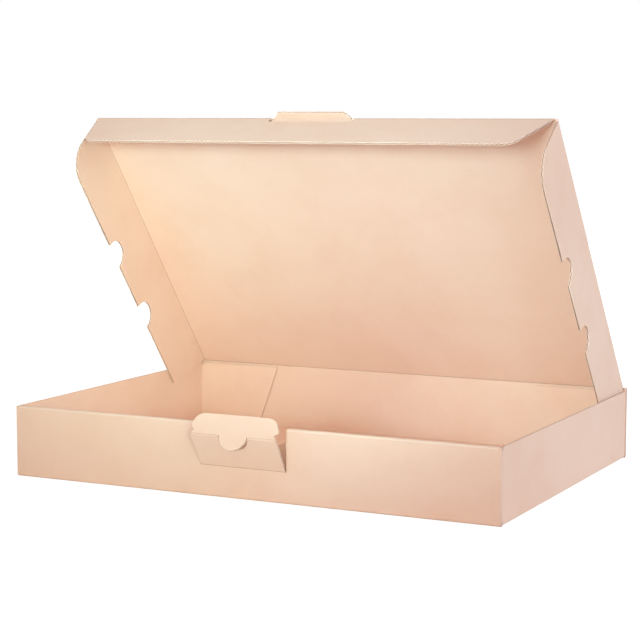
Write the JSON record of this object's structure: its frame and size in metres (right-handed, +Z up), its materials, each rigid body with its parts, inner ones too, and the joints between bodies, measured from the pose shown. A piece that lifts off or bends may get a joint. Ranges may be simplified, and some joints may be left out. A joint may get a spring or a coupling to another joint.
{
  "type": "flat mailer box",
  "caption": "Flat mailer box of thin corrugated board with a hinged lid, tuck-in lid flaps and a latch folded out of its rolled-over front wall, standing open.",
  "frame": {"origin": "middle of the underside of the tray, on the surface that it rests on", "axes": "+X along the front wall to the right, +Y from the front wall to the lid's hinge, +Z up"},
  "size_m": [0.35, 0.2672, 0.246],
  "materials": {
    "kraft_board": "matte"
  },
  "bodies": {
    "tray": {"tray": "kraft_board"},
    "lid": {"lid_panel": "kraft_board"},
    "right_flap": {"lid_right_flap": "kraft_board"},
    "left_flap": {"lid_left_flap": "kraft_board"},
    "front_flap": {"lid_front_flap": "kraft_board"},
    "latch": {"latch_panel": "kraft_board"},
    "tongue": {"latch_tongue": "kraft_board"}
  },
  "joints": [
    {"name": "lid_hinge", "type": "hinge", "parent": "tray", "child": "lid", "pos_m": [0, 0.12425, 0.04925], "axis": [-1, 0, 0], "range_deg": [-52, 128]},
    {"name": "right_flap_fold", "type": "hinge", "parent": "lid", "child": "right_flap", "pos_m": [0.17125, 0.12354, 0.0487], "axis": [0, 0.6157, -0.788], "range_deg": [0, 88]},
    {"name": "left_flap_fold", "type": "hinge", "parent": "lid", "child": "left_flap", "pos_m": [-0.17125, 0.12354, 0.0487], "axis": [0, -0.6157, 0.788], "range_deg": [0, 88]},
    {"name": "front_flap_fold", "type": "hinge", "parent": "lid", "child": "front_flap", "pos_m": [0, -0.02542, 0.24082], "axis": [-1, 0, 0], "range_deg": [-29.25, 72]},
    {"name": "latch_fold", "type": "hinge", "parent": "tray", "child": "latch", "pos_m": [0, -0.12425, 0.0205], "axis": [1, 0, 0], "range_deg": [-32, 58]},
    {"name": "tongue_fold", "type": "hinge", "parent": "latch", "child": "tongue", "pos_m": [0, -0.13776, 0.04213], "axis": [1, 0, 0], "range_deg": [-32, 58]}
  ],
  "couplings": [
    {"joint": "front_flap_fold", "follows": "lid_hinge", "ratio": 0.5625}
  ]
}
